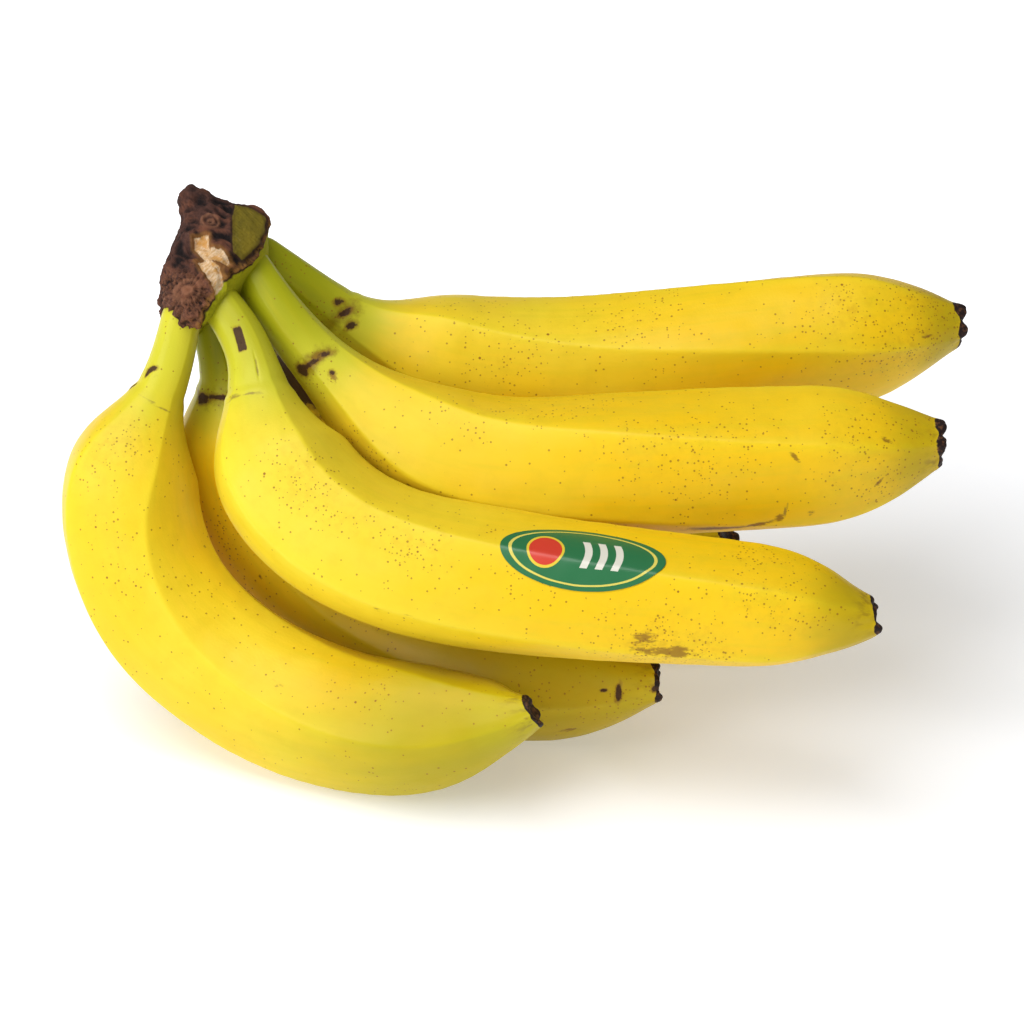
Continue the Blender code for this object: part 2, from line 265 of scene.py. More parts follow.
# the crown has its own axes: x along its foot, y in depth and z up, all in mm
crown = {
    "foot": (-80, -17, 105),
    "along": (21, 27, 15),
    "deep": (-0.27, 0.61, -0.74),
    # height, place along the foot, half length, half depth and place in depth
    "rings": [
        (-4.5, 20, 8, 6, 4), (-2.5, 15, 15, 10, 4), (1, 15.5, 18.5, 13, 3.5),
        (4.5, 16.5, 19, 13.5, 3.5), (8, 17, 18, 12.5, 3.5), (12, 18, 15, 10.5, 3.5),
        (15, 21, 11, 8.5, 3), (18, 26.5, 6, 5.5, 2.5), (21, 28, 3.6, 3.5, 2),
        (22.5, 28.5, 2, 1.8, 2),
    ],
    "sides": 20,
    "square": 0.75,          # 1 leaves a ring oval, less makes it a rounded box
    "fuller": 1.01,
    "smoothing": 4,
    # outlines on the front, each (along, up): the flat green cut and the two torn pale patches
    "facet": [(17.5, -0.6), (24, -1), (29.5, 0.2), (32.6, 2.4), (31.6, 6.6), (29.5, 10.2),
              (25.5, 8.6), (20.8, 5.2), (17.2, 2.4)],
    "torn": [
        [(15.6, 12.6), (18, 9.8), (15.2, 7.8), (16.4, 4.8), (15.6, 0.6), (13.6, 0.9),
         (12.6, 4), (11.2, 6.6), (12.8, 10.4)],
        [(10, 8), (12, 5.8), (12.4, 2), (9.2, -1.4), (5.6, -1.6), (7.4, 2), (8.4, 5.2)],
    ],
    # where the wood ends and the green foot begins, (along, up)
    "woodEnds": [(-8, -5), (3, -2.2), (7, -1.2), (10, -0.6), (16, -1.9), (21, -2.8),
                 (27, -1.7), (30, -0.2), (36, 1)],
    "scars": [(2.6, 4.6, 3.6), (21.5, 12, 2.6)],      # along, up, radius
    # pulls on the form: from (along, depth, up), how far it reaches, and the move
    "pulls": [
        ((-1.5, -6, -1.5), 7, (-1.6, -1.6, -2.2)),    # the flap over the front stem
        ((33.5, -2, 5), 4, (0.8, -0.4, 0.6)),         # the corner beside the green cut
        ((34, 1, 10), 4.5, (-1.5, 0.5, -2.4)),
        ((25.5, 0, 21.5), 4.5, (-1.6, -0.4, 0.6)),    # the torn horn
        ((31, 0, 19.5), 4, (-0.9, 0, 0.4)),
        ((12, -9, 10), 5, (0, 1.4, 0)),
    ],
    # the wood's relief: mm high and mm apart
    "lumps": (0.8, 6.5),
    "wrinkles": (0.7, 3.4),
    "tornEnd": (0.9, 2.2),
    "fibres": 2.2,           # mm apart, up the wood
    "rays": 1.3,             # round the vein scar of the left lobe
    "grain": 1.0,            # mm apart
    "tornDepth": 0.7,        # mm
    "scarHeight": 0.35,
}

label = {
    "size": (40, 17),
    "cells": (80, 34),
    "thickness": 0.12,
    "place": (17, -80, 84),
    "long": (60, -8, 0),
    "facing": (0, -0.41, 0.91),
    "above": 0.12,           # mm between the skin and the paper
    "crisp": 40,             # degrees, edges steeper than this stay sharp
    # the print, in mm: a line round the edge as shares of the oval, a ringed dot, and three bars
    "line": (0.86, 0.90),
    "dot": (-9, 0, 0),
    "dotRing": 4.6,
    "dotSize": 4.0,
    "bars": [(0.5, 2.3), (4.2, 6), (8, 9.8)],
    "barHeight": 4,          # to each side of the middle
    "barCurve": 60,          # how much the bars bend
}


def deselectAll():
    if bpy.context.object and bpy.context.object.mode != "OBJECT":
        bpy.ops.object.mode_set(mode="OBJECT")
    bpy.ops.object.select_all(action="DESELECT")


def named(name):
    # the object that was just added gets its name
    piece = bpy.context.object
    piece.name = name
    piece.data.name = name
    return piece


def corners(piece):
    places = np.empty(len(piece.data.vertices) * 3)
    piece.data.vertices.foreach_get("co", places)
    return places.reshape(-1, 3)


def moveCorners(piece, places):
    piece.data.vertices.foreach_set("co", np.asarray(places, np.float32).ravel())
    piece.data.update()


def keepField(piece, name, values):
    # a number, or a place, kept at each corner for the material to read
    kind = "FLOAT" if np.ndim(values) == 1 else "FLOAT_VECTOR"
    field = piece.data.attributes.new(name, kind, "POINT")
    flat = np.asarray(values, np.float32).ravel()
    field.data.foreach_set("value" if kind == "FLOAT" else "vector", flat)


def ease(x):
    x = np.clip(x, 0, 1)
    return x * x * (3 - 2 * x)


def unevenness(places, size, seed):
    # smooth noise from about -1 to 1, with lumps about "size" apart
    start = Vector((seed * 13.7, seed * 5.1, seed * 9.3))
    return np.array([noise.noise(Vector(place) / size + start) for place in places])


def smoothLine(points, count):
    # a natural cubic spline through the points, read at even steps
    knots = np.array(points, float)
    spans = np.linalg.norm(np.diff(knots, axis=0), axis=1)
    last = len(knots) - 1
    matrix = np.eye(last + 1)
    right = np.zeros((last + 1, 3))
    for i in range(1, last):
        matrix[i, i - 1:i + 2] = spans[i - 1], 2 * (spans[i - 1] + spans[i]), spans[i]
        slopes = [(knots[k + 1] - knots[k]) / spans[k] for k in (i - 1, i)]
        right[i] = 6 * (slopes[1] - slopes[0])
    bends = np.linalg.solve(matrix, right)
    line = []
    for i in range(last):
        width = spans[i]
        for t in np.linspace(0, width, 60, endpoint=i == last - 1):
            back = width - t
            line.append((bends[i] * back ** 3 + bends[i + 1] * t ** 3) / (6 * width)
                        + (knots[i] / width - bends[i] * width / 6) * back
                        + (knots[i + 1] / width - bends[i + 1] * width / 6) * t)
    line = np.array(line)
    reach = np.concatenate([[0], np.cumsum(np.linalg.norm(np.diff(line, axis=0), axis=1))])
    even = np.linspace(0, reach[-1], count)
    return np.stack([np.interp(even, reach, line[:, k]) for k in range(3)], axis=1), reach[-1]


def lineFrames(line):
    forward = np.gradient(line, axis=0)
    forward /= np.linalg.norm(forward, axis=1)[:, None]
    inside = (line[0] + line[-1]) / 2 - line[len(line) // 2]
    inward = []
    for direction in forward:
        inside = inside - inside.dot(direction) * direction
        inside = inside / np.linalg.norm(inside)
        inward.append(inside)
    inward = np.array(inward)
    return forward, inward, np.cross(forward, inward)


def bananaRadius(along, length, values):
    stem = values["stalk"] / 2 * (1 - banana["pinch"] * max(1 - along / banana["root"], 0))
    tip = values["tip"] / 2
    swell = float(ease((along - values["stem"]) / values["neck"]))
    belly = 1 - banana["thinning"] * ((along / length - values["fullest"]) / banana["thinningAt"]) ** 2
    full = stem + (values["girth"] / 2 * belly - stem) * swell
    close = min(max((length - along) / values["close"], 0), 1)
    return tip + (full - tip) * math.sin(close * math.pi / 2)


def bananaRings(length, values):
    # places along the straight banana and their radius; the last ones turn in to the hollow end
    first, *closer = banana["lastRings"]
    count = round((length - first) / banana["step"])
    places = list(np.linspace(0, length - first, count + 1)) + [length - back for back in closer]
    rings = [(place, bananaRadius(place, length, values)) for place in places]
    tip = values["tip"] / 2
    return rings + [(length - down, tip * share) for down, share in driedTip["hollow"]]


def smoothRings(piece, levels):
    # the drawn-up rings become a smooth closed mesh
    bpy.ops.mesh.select_all(action="SELECT")
    bpy.ops.mesh.normals_make_consistent(inside=False)
    bpy.ops.object.mode_set(mode="OBJECT")
    smooth = piece.modifiers.new("smooth", "SUBSURF")
    smooth.levels = levels
    smooth.render_levels = levels
    bpy.ops.object.modifier_apply(modifier=smooth.name)
    bpy.ops.object.shade_smooth()


def straightBanana(name, rings):
    # a disc at the root is drawn up and resized ring by ring
    deselectAll()
    root = rings[0][1] * mm / banana["roundness"]
    bpy.ops.mesh.primitive_circle_add(vertices=banana["sides"], radius=root, fill_type="NGON")
    piece = named(name)
    bpy.ops.object.mode_set(mode="EDIT")
    for (height, radius), (nextHeight, nextRadius) in zip(rings, rings[1:]):
        rise = (nextHeight - height) * mm
        grow = nextRadius / radius
        bpy.ops.mesh.extrude_region_move(TRANSFORM_OT_translate={"value": (0, 0, rise)})
        bpy.ops.transform.resize(value=(grow, grow, 1), center_override=(0, 0, nextHeight * mm))
    smoothRings(piece, banana["smoothing"])
    return piece


def angleBetween(angle, other):
    return (angle - other + 180) % 360 - 180


# how square a mark's outline is, and how steep its edge; a cut is nearly a box
markEdge = (2.4, 0.5)
cutEdge = (9, 1.7)


def markFields(along, angle, radius, marks):
    # how strongly each kind of mark shows at each corner: 1 in its middle, a half on its edge
    fields = {kind: np.zeros(len(along)) for kind in ("bruise", "smudge", "scuff", "crease", "specks")}
    for kind, place, around, length, width, turn, strength in marks:
        square, steep = cutEdge if kind == "cut" else markEdge
        kind = "bruise" if kind == "cut" else kind
        up = along - place
        across = np.radians(angleBetween(angle, around)) * radius
        lean = math.radians(turn)
        first = np.abs(up * math.cos(lean) + across * math.sin(lean)) / (length / 2)
        second = np.abs(across * math.cos(lean) - up * math.sin(lean)) / (width / 2)
        away = (first ** square + second ** square) ** (1 / square)
        field = strength * np.clip(0.5 + (1 - away) * steep, 0, 1)
        fields[kind] = np.maximum(fields[kind], field)
    return fields


def ridgeRelief(angle, along, radius, body, values):
    # five flattened faces with thin ridge lines between them, which turn along the banana
    face = 360 / banana["faces"]
    turned = angle - values["twist"] * (along - values["twistFrom"])
    offRidge = turned % face - face / 2
    sharp = 1 - math.cos(math.radians(face / 2)) / np.cos(np.radians(offRidge))
    soft = banana["softWave"] * (1 + np.cos(np.radians(offRidge * banana["faces"])))
    sunken = banana["sharpness"] * sharp + (1 - banana["sharpness"]) * soft
    ridge = np.exp(-((face / 2 - np.abs(offRidge)) / banana["ridgeWidth"]) ** 2)
    flat = banana["stemRidge"] + (banana["ridge"] - banana["stemRidge"]) * body
    grown = radius * (1 + (banana["fuller"] - 1) * body - flat * sunken)
    return grown + ridge * banana["ridgeLine"] * (0.3 + 0.7 * body), ridge


def foldRelief(places, along, values):
    # the raised ring round the neck, and the dip before it
    if not values["fold"]:
        return 0
    seed = values["seed"]
    wander = along - values["fold"] + 0.9 * unevenness(places, 7, seed + 5)
    broken = 0.5 + 0.5 * unevenness(places, 5, seed + 9)
    raised = np.exp(-(wander / banana["foldWidth"]) ** 2) * broken
    return banana["fold"] * (raised - 0.7 * np.exp(-((wander + 2.2) / 1.4) ** 2))


def shapeBanana(piece, values, length):
    # the relief of the straight banana, and the fields that its material reads
    places = corners(piece) / mm
    seed = values["seed"]
    along = places[:, 2]
    radius = np.hypot(places[:, 0], places[:, 1])
    angle = np.degrees(np.arctan2(places[:, 1], places[:, 0])) % 360
    blending = banana["blending"]
    body = ease((along - values["stem"]) / blending) * ease((length - along - 3) / blending)
    wide = np.maximum(radius, 0.01)
    grown, ridge = ridgeRelief(angle, along, wide, body, values)
    wave, waveSize = banana["wave"]
    dimple, dimpleSize = banana["dimples"]
    grown += wave * unevenness(places, waveSize, seed) * body
    grown += dimple * unevenness(places, dimpleSize, seed + 3) * body
    grown += foldRelief(places, along, values)

    # the dried lobes round the end, and the folds that run back from between them
    fromEnd = length - along
    outOfMiddle = radius / (values["tip"] / 2)
    rim = ease((outOfMiddle - 0.45) / 0.4) * ease((2.4 - fromEnd) / 2.2)
    lobes = np.zeros(len(along))
    for around, spread, size in values["lobes"]:
        off = np.abs(angleBetween(angle, around) / spread * 1.25)
        lobes = np.maximum(lobes, size * np.exp(-off ** 3))
    lobes = lobes * values["lobeSize"]
    torn, tornSize = driedTip["ragged"]
    edge = lobes * driedTip["reach"] + torn * unevenness(places, tornSize, seed + 7) - 0.5
    grown += rim * (lobes - 0.25) * driedTip["flare"]
    nearRim = ease(1 - fromEnd / driedTip["puckered"]) * (1 - rim)
    folds = unevenness(np.stack([angle / 18, along / 9, 0 * along], axis=1), 1, seed + 2)
    grown -= driedTip["pucker"] * nearRim * (0.7 - lobes + 0.6 * folds) * ease(radius / 2)
    tiltX, tiltY = values["tipTilt"]
    nearEnd = ease(1 - fromEnd / driedTip["tilted"])
    height = along + rim * edge + nearEnd * (tiltX * places[:, 0] + tiltY * places[:, 1])

    fields = markFields(along, angle, radius, values["marks"])
    grown -= banana["scar"] * ease(fields["bruise"] * 4 - 1.6)
    grown -= banana["crease"] * ease(fields["crease"] * 4 - 1.6)
    scale = np.where(radius > 0.01, grown / wide, 0)
    straight = np.stack([places[:, 0] * scale, places[:, 1] * scale, height], axis=1)

    dryReach = driedTip["band"] + driedTip["lobeBand"] * lobes
    inside = ease((0.9 - outOfMiddle) / 0.3) * ease(3 - fromEnd)
    ripeness = np.interp(along, (0.15 * length, 0.85 * length), values["ripe"])
    keepField(piece, "straight", straight * mm)
    keepField(piece, "green", values["stemTone"] * ease(1.25 - along / values["stemGreen"] * 0.85))
    keepField(piece, "ripe", ripeness)
    keepField(piece, "olive", values["tipTone"] * ease(1.25 - fromEnd / values["tipGreenAndShade"]))
    keepField(piece, "ridge", ridge * ease((along - 12) / 30))
    keepField(piece, "dried", np.maximum(ease(1.5 - fromEnd / dryReach), inside))
    keepField(piece, "folded", nearRim * (1 - lobes))
    for kind, field in fields.items():
        keepField(piece, kind, field)
    return straight


def bendBanana(piece, straight, values):
    # the straight banana is laid along its line
    line, length = smoothLine(values["line"], banana["readings"])
    forward, inward, sideways = lineFrames(line)
    reach = np.linspace(0, length, banana["readings"])
    along = np.clip(straight[:, 2], 0, length)
    read = lambda table: np.stack([np.interp(along, reach, table[:, k]) for k in range(3)], axis=1)
    roll = math.radians(values["roll"])
    x = straight[:, 0] * math.cos(roll) - straight[:, 1] * math.sin(roll)
    y = straight[:, 0] * math.sin(roll) + straight[:, 1] * math.cos(roll)
    past = (straight[:, 2] - along)[:, None]
    placed = read(line) + read(inward) * x[:, None] + read(sideways) * y[:, None]
    placed += read(forward) * past
    placed = (placed + np.array(shift)) * mm
    placed[:, 2] = np.maximum(placed[:, 2], 0)
    moveCorners(piece, placed)


def makeBanana(name, values):
    line, length = smoothLine(values["line"], banana["readings"])
    piece = straightBanana(name, bananaRings(length, values))
    straight = shapeBanana(piece, values, length)
    bendBanana(piece, straight, values)
    piece.data.materials.append(peelMaterial(name + "Peel", values["seed"]))
    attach(piece, "root")
    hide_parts(values["node"])
    print("made", name, len(piece.data.polygons), "faces")
    return piece


def crownAxes():
    along = Vector(crown["along"]).normalized()
    deep = Vector(crown["deep"])
    deep = (deep - along * deep.dot(along)).normalized()
    return Matrix((along, along.cross(deep), deep)).transposed()


def outlineField(x, y, outline):
    # how far each place is inside a closed outline, in mm; below 0 outside it
    nearest = np.full(len(x), 1e9)
    crossings = np.zeros(len(x), int)
    for (x1, y1), (x2, y2) in zip(outline, outline[1:] + outline[:1]):
        wide, high = x2 - x1, y2 - y1
        t = np.clip(((x - x1) * wide + (y - y1) * high) / (wide ** 2 + high ** 2), 0, 1)
        nearest = np.minimum(nearest, np.hypot(x - x1 - t * wide, y - y1 - t * high))
        between = (y1 > y) != (y2 > y)
        meets = x1 + (y - y1) * wide / (high or 1)
        crossings += between & (x < meets)
    return np.where(crossings % 2 == 1, nearest, -nearest)


def straightCrown():
    # a disc is drawn up and resized ring by ring in the crown's own axes
    deselectAll()
    height, place, halfLong, halfDeep, depth = crown["rings"][0]
    bpy.ops.mesh.primitive_circle_add(vertices=crown["sides"], radius=1 * mm, fill_type="NGON")
    piece = named("crownWood")
    bpy.ops.object.mode_set(mode="EDIT")
    bpy.ops.transform.resize(value=(halfLong, halfDeep, 1))
    bpy.ops.transform.translate(value=(place * mm, depth * mm, height * mm))
    for now, then in zip(crown["rings"], crown["rings"][1:]):
        step = [(then[k] - now[k]) * mm for k in (1, 4, 0)]
        grow = (then[2] / now[2], then[3] / now[3], 1)
        centre = [then[k] * mm for k in (1, 4, 0)]
        bpy.ops.mesh.extrude_region_move(TRANSFORM_OT_translate={"value": step})
        bpy.ops.transform.resize(value=grow, center_override=centre)
    smoothRings(piece, crown["smoothing"])
    return piece


def outward(piece, own):
    moveCorners(piece, own * mm)
    flat = np.empty(len(own) * 3, np.float32)
    piece.data.vertices.foreach_get("normal", flat)
    return flat.reshape(-1, 3)


def crownForm(own):
    # the round rings become rounded boxes, and the pulls move the form
    rings = np.array(crown["rings"])
    read = lambda k: np.interp(own[:, 2], rings[:, 0], rings[:, k])
    place, halfLong, halfDeep, middle = read(1), read(2), read(3), read(4)
    u = (own[:, 0] - place) / halfLong
    v = (own[:, 1] - middle) / halfDeep
    turn = np.arctan2(v, u)
    size = np.hypot(u, v) * crown["fuller"]
    squared = lambda part: np.sign(part) * np.abs(part) ** crown["square"]
    own[:, 0] = place + halfLong * size * squared(np.cos(turn))
    own[:, 1] = middle + halfDeep * size * squared(np.sin(turn))
    front = ease((middle + 1 - own[:, 1]) / 3)
    for start, reach, move in crown["pulls"]:
        near = np.exp(-(np.linalg.norm(own - np.array(start), axis=1) / reach) ** 2)
        own += near[:, None] * np.array(move)
    return front


def flattenCut(own, facet):
    # the corners inside the green cut's outline are brought on to one plane
    table = np.stack([np.ones(len(own)), own[:, 0], own[:, 2]], axis=1)
    inFacet = facet > 0
    plane, *_ = np.linalg.lstsq(table[inFacet], own[inFacet, 1], rcond=None)
    own[:, 1] += (table @ plane - own[:, 1]) * ease(facet / 1.2 + 0.4) * 0.85


def crownWrinkles(own, along, up, lobe):
    # fibres that run up the wood, or out from the vein scar of the left lobe, and wrinkles
    scarAlong, scarUp, _ = crown["scars"][0]
    fromScar = np.hypot(along - scarAlong, up - scarUp)
    around = np.arctan2(up - scarUp, along - scarAlong)
    outFromScar = fromScar * 0.25 + own[:, 1] * 0.4
    rays = np.stack([np.cos(around) * 5, np.sin(around) * 5, outFromScar], axis=1)
    fibre = unevenness(own * np.array([1, 1, 0.24]), crown["fibres"], 5) * (1 - lobe)
    fibre += unevenness(rays, crown["rays"], 6) * lobe * ease(fromScar / 3)
    grain = unevenness(own * np.array([1, 1, 0.4]), crown["grain"], 11)
    high, size = crown["wrinkles"]
    wrinkled = 0.9 * (0.35 - np.abs(fibre) * 2) + high * unevenness(own, size, 8)
    wrinkled += 0.3 * (0.3 - np.abs(grain) * 1.6)
    return wrinkled * (1 - 0.55 * ease((up - 13) / 4))      # calmer towards the horn


def veinScars(along, up, front):
    scar = np.zeros(len(along))
    for placeAlong, placeUp, radius in crown["scars"]:
        away = np.hypot(along - placeAlong, up - placeUp)
        ringed = np.where(away < radius, 0.5 - 0.5 * np.cos(away / radius * 4 * math.pi), 0)
        scar = np.maximum(scar, ringed * front)
    return scar


def makeCrown():
    piece = straightCrown()
    own = corners(piece) / mm
    front = crownForm(own)
    along, up = own[:, 0].copy(), own[:, 2].copy()
    facet = outlineField(along, up, crown["facet"])
    torn = np.maximum(*[outlineField(along, up, outline) for outline in crown["torn"]])
    wood = up - np.interp(along, *zip(*crown["woodEnds"]))
    facet = np.where(front > 0.5, facet, -3)
    torn = np.where(front > 0.5, torn, -3)
    flattenCut(own, facet)

    # lumps and wrinkles on the wood, the crease beside its left lobe, and its torn end
    woody = ease(wood / 2 + 0.5) * (1 - ease(facet + 0.5))
    lobe = ease((11 - along - 0.3 * up) / 4)
    wrinkled = crownWrinkles(own, along, up, lobe)
    lump, lumpSize = crown["lumps"]
    tear, tearSize = crown["tornEnd"]
    push = lump * unevenness(own, lumpSize, 3) * (1 - ease(facet / 1.5 + 0.5))
    push += woody * wrinkled
    push += ease((up - 14) / 6) * tear * unevenness(own, tearSize, 14)
    push -= 0.8 * np.exp(-((lobe - 0.5) / 0.22) ** 2) * front * ease((up - 5) / 4)

    # raised edges round the torn patches, the cut and the foot, and the round vein scars
    push -= crown["tornDepth"] * ease(torn / 0.8 + 0.5)
    push += 0.6 * np.exp(-((torn + 0.5) / 0.6) ** 2)
    push += 0.5 * np.exp(-((facet + 0.6) / 0.6) ** 2)
    push += 0.5 * np.exp(-((wood - 0.8) / 0.8) ** 2) * (0.6 + unevenness(own, 2.5, 17))
    scar = veinScars(along, up, front)
    push += crown["scarHeight"] * scar
    own = own + outward(piece, own) * push[:, None]

    keepField(piece, "own", own * mm)
    keepField(piece, "facet", np.clip(facet / 3 + 0.5, 0, 1))
    keepField(piece, "torn", np.clip(torn / 3 + 0.5, 0, 1))
    keepField(piece, "wood", np.clip(wood / 4 + 0.5, 0, 1))
    keepField(piece, "scar", scar)
    keepField(piece, "lobe", lobe * front)
    keepField(piece, "relief", np.clip(0.5 + wrinkled * 0.45, 0, 1))
    axes = crownAxes()
    turnPlace = np.array([axes.col[0], axes.col[2], axes.col[1]])
    placed = np.array(crown["foot"]) + own @ turnPlace + np.array(shift)
    moveCorners(piece, placed * mm)
    piece.data.materials.append(crownMaterial())
    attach(piece, "root")
    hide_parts("crown")
    print("made crownWood", len(piece.data.polygons), "faces")
    return piece


def makeLabel(skin):
    deselectAll()
    columns, rows = label["cells"]
    bpy.ops.mesh.primitive_grid_add(x_subdivisions=columns, y_subdivisions=rows, size=2)
    piece = named("fruitLabel")
    flat = corners(piece)
    x, y = flat[:, 0].copy(), flat[:, 1].copy()
    flat[:, 0] = x * np.sqrt(1 - y * y / 2) * label["size"][0] / 2 * mm
    flat[:, 1] = y * np.sqrt(1 - x * x / 2) * label["size"][1] / 2 * mm
    moveCorners(piece, flat)
    keepField(piece, "paper", flat)
    facing = Vector(label["facing"]).normalized()
    longWay = Vector(label["long"])
    longWay = (longWay - facing * longWay.dot(facing)).normalized()
    turn = Matrix((longWay, facing.cross(longWay), facing)).transposed()
    piece.matrix_world = Matrix.Translation((Vector(label["place"]) + shift) * mm) @ turn.to_4x4()
    press = piece.modifiers.new("lies on the skin", "SHRINKWRAP")
    press.target = skin
    press.wrap_method = "PROJECT"
    press.use_project_z = True
    press.use_negative_direction = True
    press.use_positive_direction = False
    press.wrap_mode = "ABOVE_SURFACE"
    press.offset = label["above"] * mm
    thick = piece.modifiers.new("paper", "SOLIDIFY")
    thick.thickness = label["thickness"] * mm
    thick.offset = 1
    bpy.ops.object.modifier_apply(modifier=press.name)
    bpy.ops.object.modifier_apply(modifier=thick.name)
    bpy.ops.object.transform_apply(location=True, rotation=True, scale=True)
    bpy.ops.object.shade_smooth_by_angle(angle=math.radians(label["crisp"]))
    piece.data.materials.append(labelMaterial())
    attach(piece, "root")
    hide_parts("label")
    print("made fruitLabel")
    return piece


# materials

class Nodes:
    # short ways to add and join shader nodes
    def __init__(self, tree):
        self.tree = tree

    def add(self, kind, sockets=None, **settings):
        node = self.tree.nodes.new(kind)
        for key, value in settings.items():
            setattr(node, key, value)
        for key, value in (sockets or {}).items():
            self.put(node.inputs[key], value)
        return node

    def put(self, socket, value):
        if isinstance(value, bpy.types.NodeSocket):
            self.tree.links.new(value, socket)
        else:
            socket.default_value = value

    def math(self, operation, first, second=0.0, third=0.0):
        sockets = {0: first, 1: second, 2: third}
        return self.add("ShaderNodeMath", sockets, operation=operation).outputs[0]

    def times(self, first, second):
        return self.math("MULTIPLY", first, second)

    def plus(self, first, second):
        return self.math("ADD", first, second)

    def around(self, value, reach):
        # a pattern that goes from 0 to 1 is made to swing about 0
        return self.times(self.math("SUBTRACT", value, 0.5), reach)

    def blend(self, factor, first, second):
        # colours may be given as red, green and blue
        first, second = (value if isinstance(value, bpy.types.NodeSocket) else (*value, 1)
                         for value in (first, second))
        node = self.add("ShaderNodeMix", {0: factor, 6: first, 7: second}, data_type="RGBA")
        return node.outputs[2]

    def over(self, colour, new, mask, strength):
        return self.blend(self.times(mask, strength), colour, new)

    def step(self, value, low, high):
        sockets = {"Value": value, "From Min": low, "From Max": high}
        return self.add("ShaderNodeMapRange", sockets, interpolation_type="SMOOTHSTEP").outputs[0]

    def field(self, name, output="Fac"):
        return self.add("ShaderNodeAttribute", attribute_name=name).outputs[output]

    def stretch(self, vector, scale, place=(0, 0, 0)):
        sockets = {"Vector": vector, "Scale": scale, "Location": place}
        return self.add("ShaderNodeMapping", sockets).outputs[0]

    def noise(self, vector, scale, detail=3.0, rough=0.5):
        sockets = {"Vector": vector, "Scale": scale, "Detail": detail, "Roughness": rough}
        return self.add("ShaderNodeTexNoise", sockets).outputs["Fac"]

    def bump(self, shader, height, strength, distance):
        sockets = {"Height": height, "Strength": strength, "Distance": distance}
        self.put(shader.inputs["Normal"], self.add("ShaderNodeBump", sockets).outputs[0])


def newMaterial(name, **values):
    made = bpy.data.materials.new(name)
    made.use_nodes = True
    shader = made.node_tree.nodes["Principled BSDF"]
    for key, value in values.items():
        shader.inputs[key].default_value = value
    return made, Nodes(made.node_tree), shader


# linear red, green and blue
peel = {
    "golden": (0.87, 0.545, 0.005),
    "lemon": (0.80, 0.63, 0.032),
    "mottled": (0.70, 0.49, 0.012),
    "clouded": (0.84, 0.56, 0.03),
    "streaked": (0.64, 0.52, 0.01),
    # a painted highlight, laid along the thin ridge lines
    "ridge": (0.82, 0.72, 0.03),
    "lime": (0.58, 0.55, 0.03),
    "warmGreen": (0.31, 0.33, 0.003),
    "green": (0.37, 0.37, 0.005),
    "warmOlive": (0.42, 0.31, 0.003),
    "olive": (0.38, 0.37, 0.003),
    "faded": (0.50, 0.42, 0.012),
    "tanned": (0.50, 0.24, 0.006),
    "speck": (0.25, 0.080, 0.005),
    "scuff": (0.22, 0.095, 0.008),
    "smudge": (0.16, 0.070, 0.006),
    "bruiseEdge": (0.24, 0.11, 0.010),
    "scab": (0.020, 0.006, 0.004),
    "brownScab": (0.070, 0.026, 0.014),
    "crease": (0.20, 0.12, 0.03),
    "fold": (0.16, 0.075, 0.01),
    "dry": (0.014, 0.006, 0.005),
    "brownDry": (0.11, 0.045, 0.018),
    # dots, each (cells to the metre, share wanted, smallest, how much larger) in cells
    "fineDots": (1050, 1.2, 0.15, 0.17),
    "largeDots": (400, 0.7, 0.06, 0.09),
    "bump": (0.3, 0.0004),   # strength, m
    "waxy": {"Coat Weight": 0.03, "Coat Roughness": 0.25, "Specular IOR Level": 0.2},
}
peelFields = ("Ripe", "Green", "Olive", "Ridge", "Dried", "Folded",
              "Bruise", "Smudge", "Scuff", "Crease", "Specks")


def dotted(n, place, share, dots):
    # round dots at random places: where "share" is high, more of the cells hold one
    scale, wanted, smallest, spread = dots
    cells = n.add("ShaderNodeTexVoronoi", {"Vector": place, "Scale": scale})
    chance = n.add("ShaderNodeSeparateColor", {"Color": cells.outputs["Color"]}).outputs
    size = n.math("MULTIPLY_ADD", chance[1], spread, smallest)
    soft = n.step(n.math("DIVIDE", cells.outputs["Distance"], size), 1.25, 0.7)
    return n.times(soft, n.math("LESS_THAN", chance[0], n.times(share, wanted)))


